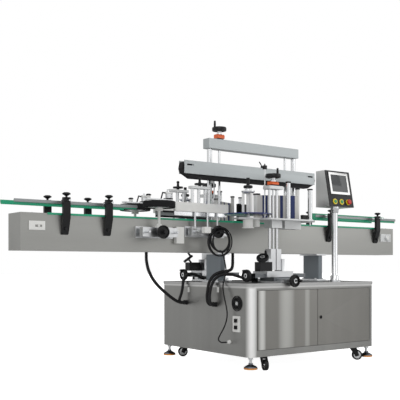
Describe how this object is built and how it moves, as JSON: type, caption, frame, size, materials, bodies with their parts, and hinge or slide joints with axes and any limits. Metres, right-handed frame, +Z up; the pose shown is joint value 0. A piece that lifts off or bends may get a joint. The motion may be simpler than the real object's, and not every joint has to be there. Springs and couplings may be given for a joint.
{
  "type": "bottle labelling machine",
  "caption": "Two-sided bottle labelling machine: slat conveyor over a cabinet, with separating wheels, centring guides, a top press belt, label heads and an operator panel.",
  "frame": {"origin": "on the floor under the middle of the conveyor, on its centre plane", "axes": "+X along the conveyor towards the outfeed, +Y to the back, +Z up"},
  "size_m": [3.11, 1.062, 1.583],
  "materials": {
    "brushed_stainless": "satin",
    "door_stainless": "satin",
    "grey_paint": "satin",
    "anodised": "matte",
    "bright_steel": "gloss",
    "white_bar": "matte",
    "black_plastic": "matte",
    "black_rubber": "matte",
    "rail_aluminium": "satin",
    "slat_plastic": "matte",
    "cord_rubber": "satin",
    "plug_plastic": "gloss",
    "green_plastic": "gloss",
    "red_plastic": "gloss",
    "reel_plastic": "gloss",
    "mount_aluminium": "satin",
    "fitting_plastic": "matte",
    "foot_steel": "satin",
    "wheel_rubber": "matte",
    "sprocket_plastic": "matte"
  },
  "bodies": {
    "machine_base": {"cabinet_shell": "brushed_stainless", "cabinet_top": "brushed_stainless", "end_wall_fittings": "fitting_plastic", "levelling_feet": "foot_steel", "caster_forks": "black_plastic", "conveyor_legs": "grey_paint", "conveyor_frame": "brushed_stainless", "slat_chain": "slat_plastic", "side_mounts": "black_plastic", "press_frame": "anodised", "panel_post": "bright_steel", "conduits": "black_plastic", "power_cord": "cord_rubber", "cord_coil": "cord_rubber", "power_plug": "plug_plastic"},
    "door_left": {"door_left": "door_stainless"},
    "door_right": {"door_right": "door_stainless"},
    "drive_sprocket": {"drive_sprocket": "sprocket_plastic"},
    "rail_infeed_front": {"rail_infeed_front": "rail_aluminium"},
    "rail_infeed_rear": {"rail_infeed_rear": "rail_aluminium"},
    "rail_outfeed_front": {"rail_outfeed_front": "rail_aluminium"},
    "rail_outfeed_rear": {"rail_outfeed_rear": "rail_aluminium"},
    "separator_front": {"separator_front": "mount_aluminium"},
    "separator_rear": {"separator_rear": "mount_aluminium"},
    "sponge_wheel_front": {"sponge_wheel_front": "black_rubber"},
    "sponge_wheel_rear": {"sponge_wheel_rear": "black_rubber"},
    "separator_handwheel": {"separator_handwheel": "black_plastic"},
    "centring_handwheel": {"centring_handwheel": "black_plastic"},
    "centring_guide_front": {"centring_guide_front": "white_bar"},
    "centring_guide_rear": {"centring_guide_rear": "white_bar"},
    "press_head": {"press_head": "anodised"},
    "press_crank": {"press_crank": "black_plastic"},
    "panel_box": {"panel_box": "brushed_stainless"},
    "start_button": {"start_button": "green_plastic"},
    "reset_button": {"reset_button": "green_plastic"},
    "emergency_stop": {"emergency_stop": "red_plastic"},
    "caster_wheel_1": {"caster_wheel_1": "wheel_rubber"},
    "caster_wheel_2": {"caster_wheel_2": "wheel_rubber"},
    "caster_wheel_3": {"caster_wheel_3": "wheel_rubber"},
    "caster_wheel_4": {"caster_wheel_4": "wheel_rubber"},
    "front_saddle": {"front_saddle": "mount_aluminium"},
    "front_table": {"front_table": "mount_aluminium"},
    "front_mast": {"front_mast": "bright_steel"},
    "front_deck": {"front_deck": "mount_aluminium"},
    "front_label_reel": {"front_label_reel": "reel_plastic"},
    "front_label_roller": {"front_label_roller": "bright_steel"},
    "front_x_handwheel": {"front_x_handwheel": "black_plastic"},
    "front_y_handwheel": {"front_y_handwheel": "black_plastic"},
    "front_tilt_handwheel": {"front_tilt_handwheel": "black_plastic"},
    "front_lift_crank": {"front_lift_crank": "black_plastic"},
    "rear_saddle": {"rear_saddle": "mount_aluminium"},
    "rear_table": {"rear_table": "mount_aluminium"},
    "rear_mast": {"rear_mast": "bright_steel"},
    "rear_deck": {"rear_deck": "mount_aluminium"},
    "rear_label_reel": {"rear_label_reel": "reel_plastic"},
    "rear_label_roller": {"rear_label_roller": "bright_steel"},
    "rear_x_handwheel": {"rear_x_handwheel": "black_plastic"},
    "rear_y_handwheel": {"rear_y_handwheel": "black_plastic"},
    "rear_tilt_handwheel": {"rear_tilt_handwheel": "black_plastic"},
    "rear_lift_crank": {"rear_lift_crank": "black_plastic"}
  },
  "joints": [
    {"name": "door_left_hinge", "type": "hinge", "parent": "machine_base", "child": "door_left", "pos_m": [-0.1925, -0.458, 0.3], "axis": [0, 0, 1], "range_deg": [-110, 0]},
    {"name": "door_right_hinge", "type": "hinge", "parent": "machine_base", "child": "door_right", "pos_m": [0.7715, -0.458, 0.3], "axis": [0, 0, 1], "range_deg": [0, 110]},
    {"name": "caster_1_roll", "type": "hinge", "parent": "machine_base", "child": "caster_wheel_1", "pos_m": [-0.10752, -0.42567, 0.0335], "axis": [0.9397, -0.342, 0], "continuous": true},
    {"name": "caster_2_roll", "type": "hinge", "parent": "machine_base", "child": "caster_wheel_2", "pos_m": [0.7108, -0.41793, 0.0335], "axis": [0.5878, 0.809, 0], "continuous": true},
    {"name": "caster_3_roll", "type": "hinge", "parent": "machine_base", "child": "caster_wheel_3", "pos_m": [-0.11905, 0.416, 0.0335], "axis": [-0.5, -0.866, 0], "continuous": true},
    {"name": "caster_4_roll", "type": "hinge", "parent": "machine_base", "child": "caster_wheel_4", "pos_m": [0.704, 0.38595, 0.0335], "axis": [0.866, 0.5, 0], "continuous": true},
    {"name": "drive_shaft_turn", "type": "hinge", "parent": "machine_base", "child": "drive_sprocket", "pos_m": [1.424, 0, 0.836], "axis": [0, 1, 0], "continuous": true},
    {"name": "rail_infeed_front_slide", "type": "slide", "parent": "machine_base", "child": "rail_infeed_front", "axis": [0, 1, 0], "range_m": [-0.02, 0.03]},
    {"name": "rail_outfeed_front_slide", "type": "slide", "parent": "machine_base", "child": "rail_outfeed_front", "axis": [0, 1, 0], "range_m": [-0.02, 0.03]},
    {"name": "rail_infeed_rear_slide", "type": "slide", "parent": "machine_base", "child": "rail_infeed_rear", "axis": [0, -1, 0], "range_m": [-0.02, 0.03]},
    {"name": "rail_outfeed_rear_slide", "type": "slide", "parent": "machine_base", "child": "rail_outfeed_rear", "axis": [0, -1, 0], "range_m": [-0.02, 0.03]},
    {"name": "separator_front_slide", "type": "slide", "parent": "machine_base", "child": "separator_front", "axis": [0, 1, 0], "range_m": [-0.014, 0.012]},
    {"name": "separator_rear_slide", "type": "slide", "parent": "machine_base", "child": "separator_rear", "axis": [0, -1, 0], "range_m": [-0.014, 0.012]},
    {"name": "separator_wheel_turn", "type": "hinge", "parent": "machine_base", "child": "separator_handwheel", "pos_m": [-0.681, -0.185, 0.82], "axis": [0, 1, 0], "range_deg": [-1265, 1265]},
    {"name": "centring_front_slide", "type": "slide", "parent": "machine_base", "child": "centring_guide_front", "axis": [0, 1, 0], "range_m": [-0.015, 0.012]},
    {"name": "centring_rear_slide", "type": "slide", "parent": "machine_base", "child": "centring_guide_rear", "axis": [0, -1, 0], "range_m": [-0.015, 0.012]},
    {"name": "centring_wheel_turn", "type": "hinge", "parent": "machine_base", "child": "centring_handwheel", "pos_m": [-0.28, -0.185, 0.832], "axis": [0, 1, 0], "range_deg": [-1355, 1355]},
    {"name": "sponge_front_spin", "type": "hinge", "parent": "separator_front", "child": "sponge_wheel_front", "pos_m": [-0.673, -0.135, 0.98], "axis": [0, 0, 1], "continuous": true},
    {"name": "sponge_rear_spin", "type": "hinge", "parent": "separator_rear", "child": "sponge_wheel_rear", "pos_m": [-0.673, 0.135, 0.98], "axis": [0, 0, 1], "continuous": true},
    {"name": "press_lift", "type": "slide", "parent": "machine_base", "child": "press_head", "axis": [0, 0, 1], "range_m": [-0.12, 0.08]},
    {"name": "press_crank_turn", "type": "hinge", "parent": "machine_base", "child": "press_crank", "pos_m": [-0.035, 0.115, 1.5], "axis": [0, 0, 1], "range_deg": [-4330, 4330]},
    {"name": "panel_swivel", "type": "hinge", "parent": "machine_base", "child": "panel_box", "pos_m": [0.517, -0.4, 1], "axis": [0, 0, 1], "range_deg": [-45, 45]},
    {"name": "start_button_press", "type": "slide", "parent": "panel_box", "child": "start_button", "axis": [0, 0.9823, -0.1873], "range_m": [0, 0.003], "stiffness_N_per_m": 600},
    {"name": "reset_button_press", "type": "slide", "parent": "panel_box", "child": "reset_button", "axis": [0, 0.9823, -0.1873], "range_m": [0, 0.003], "stiffness_N_per_m": 600},
    {"name": "emergency_stop_press", "type": "slide", "parent": "panel_box", "child": "emergency_stop", "axis": [0, 0.9823, -0.1873], "range_m": [0, 0.003], "stiffness_N_per_m": 600},
    {"name": "front_saddle_slide", "type": "slide", "parent": "machine_base", "child": "front_saddle", "axis": [0, 1, 0], "range_m": [-0.04, 0.01]},
    {"name": "front_y_wheel_turn", "type": "hinge", "parent": "machine_base", "child": "front_y_handwheel", "pos_m": [0.064, -0.492, 0.534], "axis": [0, 1, 0], "range_deg": [-3700, 3700]},
    {"name": "front_table_slide", "type": "slide", "parent": "front_saddle", "child": "front_table", "axis": [1, 0, 0], "range_m": [-0.03, 0.03]},
    {"name": "front_x_wheel_turn", "type": "hinge", "parent": "front_saddle", "child": "front_x_handwheel", "pos_m": [-0.163, -0.33, 0.5645], "axis": [1, 0, 0], "range_deg": [-2800, 2800]},
    {"name": "front_mast_tilt", "type": "hinge", "parent": "front_table", "child": "front_mast", "pos_m": [0.043, -0.33, 0.642], "axis": [1, 0, 0], "range_deg": [-3, 8]},
    {"name": "front_tilt_wheel_turn", "type": "hinge", "parent": "front_table", "child": "front_tilt_handwheel", "pos_m": [-0.094, -0.388, 0.673], "axis": [-0.487, -0.355, 0.798], "range_deg": [-500, 500]},
    {"name": "front_deck_lift", "type": "slide", "parent": "front_mast", "child": "front_deck", "axis": [0, 0, 1], "range_m": [-0.015, 0.085]},
    {"name": "front_lift_crank_turn", "type": "hinge", "parent": "front_mast", "child": "front_lift_crank", "pos_m": [0.043, -0.33, 1.17], "axis": [0, 0, 1], "range_deg": [-7700, 7700]},
    {"name": "front_reel_spin", "type": "hinge", "parent": "front_deck", "child": "front_label_reel", "pos_m": [-0.16, -0.33, 0.93], "axis": [0, 0, 1], "continuous": true},
    {"name": "front_roller_spin", "type": "hinge", "parent": "front_deck", "child": "front_label_roller", "pos_m": [0.342, -0.35, 1], "axis": [0, 0, 1], "continuous": true},
    {"name": "rear_saddle_slide", "type": "slide", "parent": "machine_base", "child": "rear_saddle", "axis": [0, -1, 0], "range_m": [-0.04, 0.01]},
    {"name": "rear_y_wheel_turn", "type": "hinge", "parent": "machine_base", "child": "rear_y_handwheel", "pos_m": [0.064, 0.492, 0.534], "axis": [0, -1, 0], "range_deg": [-3700, 3700]},
    {"name": "rear_table_slide", "type": "slide", "parent": "rear_saddle", "child": "rear_table", "axis": [1, 0, 0], "range_m": [-0.03, 0.03]},
    {"name": "rear_x_wheel_turn", "type": "hinge", "parent": "rear_saddle", "child": "rear_x_handwheel", "pos_m": [-0.163, 0.33, 0.5645], "axis": [1, 0, 0], "range_deg": [-2800, 2800]},
    {"name": "rear_mast_tilt", "type": "hinge", "parent": "rear_table", "child": "rear_mast", "pos_m": [0.043, 0.33, 0.642], "axis": [-1, 0, 0], "range_deg": [-3, 8]},
    {"name": "rear_tilt_wheel_turn", "type": "hinge", "parent": "rear_table", "child": "rear_tilt_handwheel", "pos_m": [-0.094, 0.388, 0.673], "axis": [-0.487, 0.355, 0.798], "range_deg": [-500, 500]},
    {"name": "rear_deck_lift", "type": "slide", "parent": "rear_mast", "child": "rear_deck", "axis": [0, 0, 1], "range_m": [-0.015, 0.085]},
    {"name": "rear_lift_crank_turn", "type": "hinge", "parent": "rear_mast", "child": "rear_lift_crank", "pos_m": [0.043, 0.33, 1.17], "axis": [0, 0, 1], "range_deg": [-7700, 7700]},
    {"name": "rear_reel_spin", "type": "hinge", "parent": "rear_deck", "child": "rear_label_reel", "pos_m": [-0.16, 0.33, 0.93], "axis": [0, 0, 1], "continuous": true},
    {"name": "rear_roller_spin", "type": "hinge", "parent": "rear_deck", "child": "rear_label_roller", "pos_m": [0.342, 0.35, 1], "axis": [0, 0, 1], "continuous": true}
  ],
  "couplings": [
    {"joint": "separator_rear_slide", "follows": "separator_front_slide", "ratio": 1},
    {"joint": "separator_wheel_turn", "follows": "separator_front_slide", "rad_per_m": 1570.8},
    {"joint": "centring_rear_slide", "follows": "centring_front_slide", "ratio": 1},
    {"joint": "centring_wheel_turn", "follows": "centring_front_slide", "rad_per_m": 1570.8},
    {"joint": "press_crank_turn", "follows": "press_lift", "rad_per_m": 628.32},
    {"joint": "front_y_wheel_turn", "follows": "front_saddle_slide", "rad_per_m": 1570.8},
    {"joint": "front_x_wheel_turn", "follows": "front_table_slide", "rad_per_m": 1570.8},
    {"joint": "front_tilt_wheel_turn", "follows": "front_mast_tilt", "ratio": 60},
    {"joint": "front_lift_crank_turn", "follows": "front_deck_lift", "rad_per_m": 1570.8},
    {"joint": "rear_y_wheel_turn", "follows": "rear_saddle_slide", "rad_per_m": 1570.8},
    {"joint": "rear_x_wheel_turn", "follows": "rear_table_slide", "rad_per_m": 1570.8},
    {"joint": "rear_tilt_wheel_turn", "follows": "rear_mast_tilt", "ratio": 60},
    {"joint": "rear_lift_crank_turn", "follows": "rear_deck_lift", "rad_per_m": 1570.8}
  ]
}
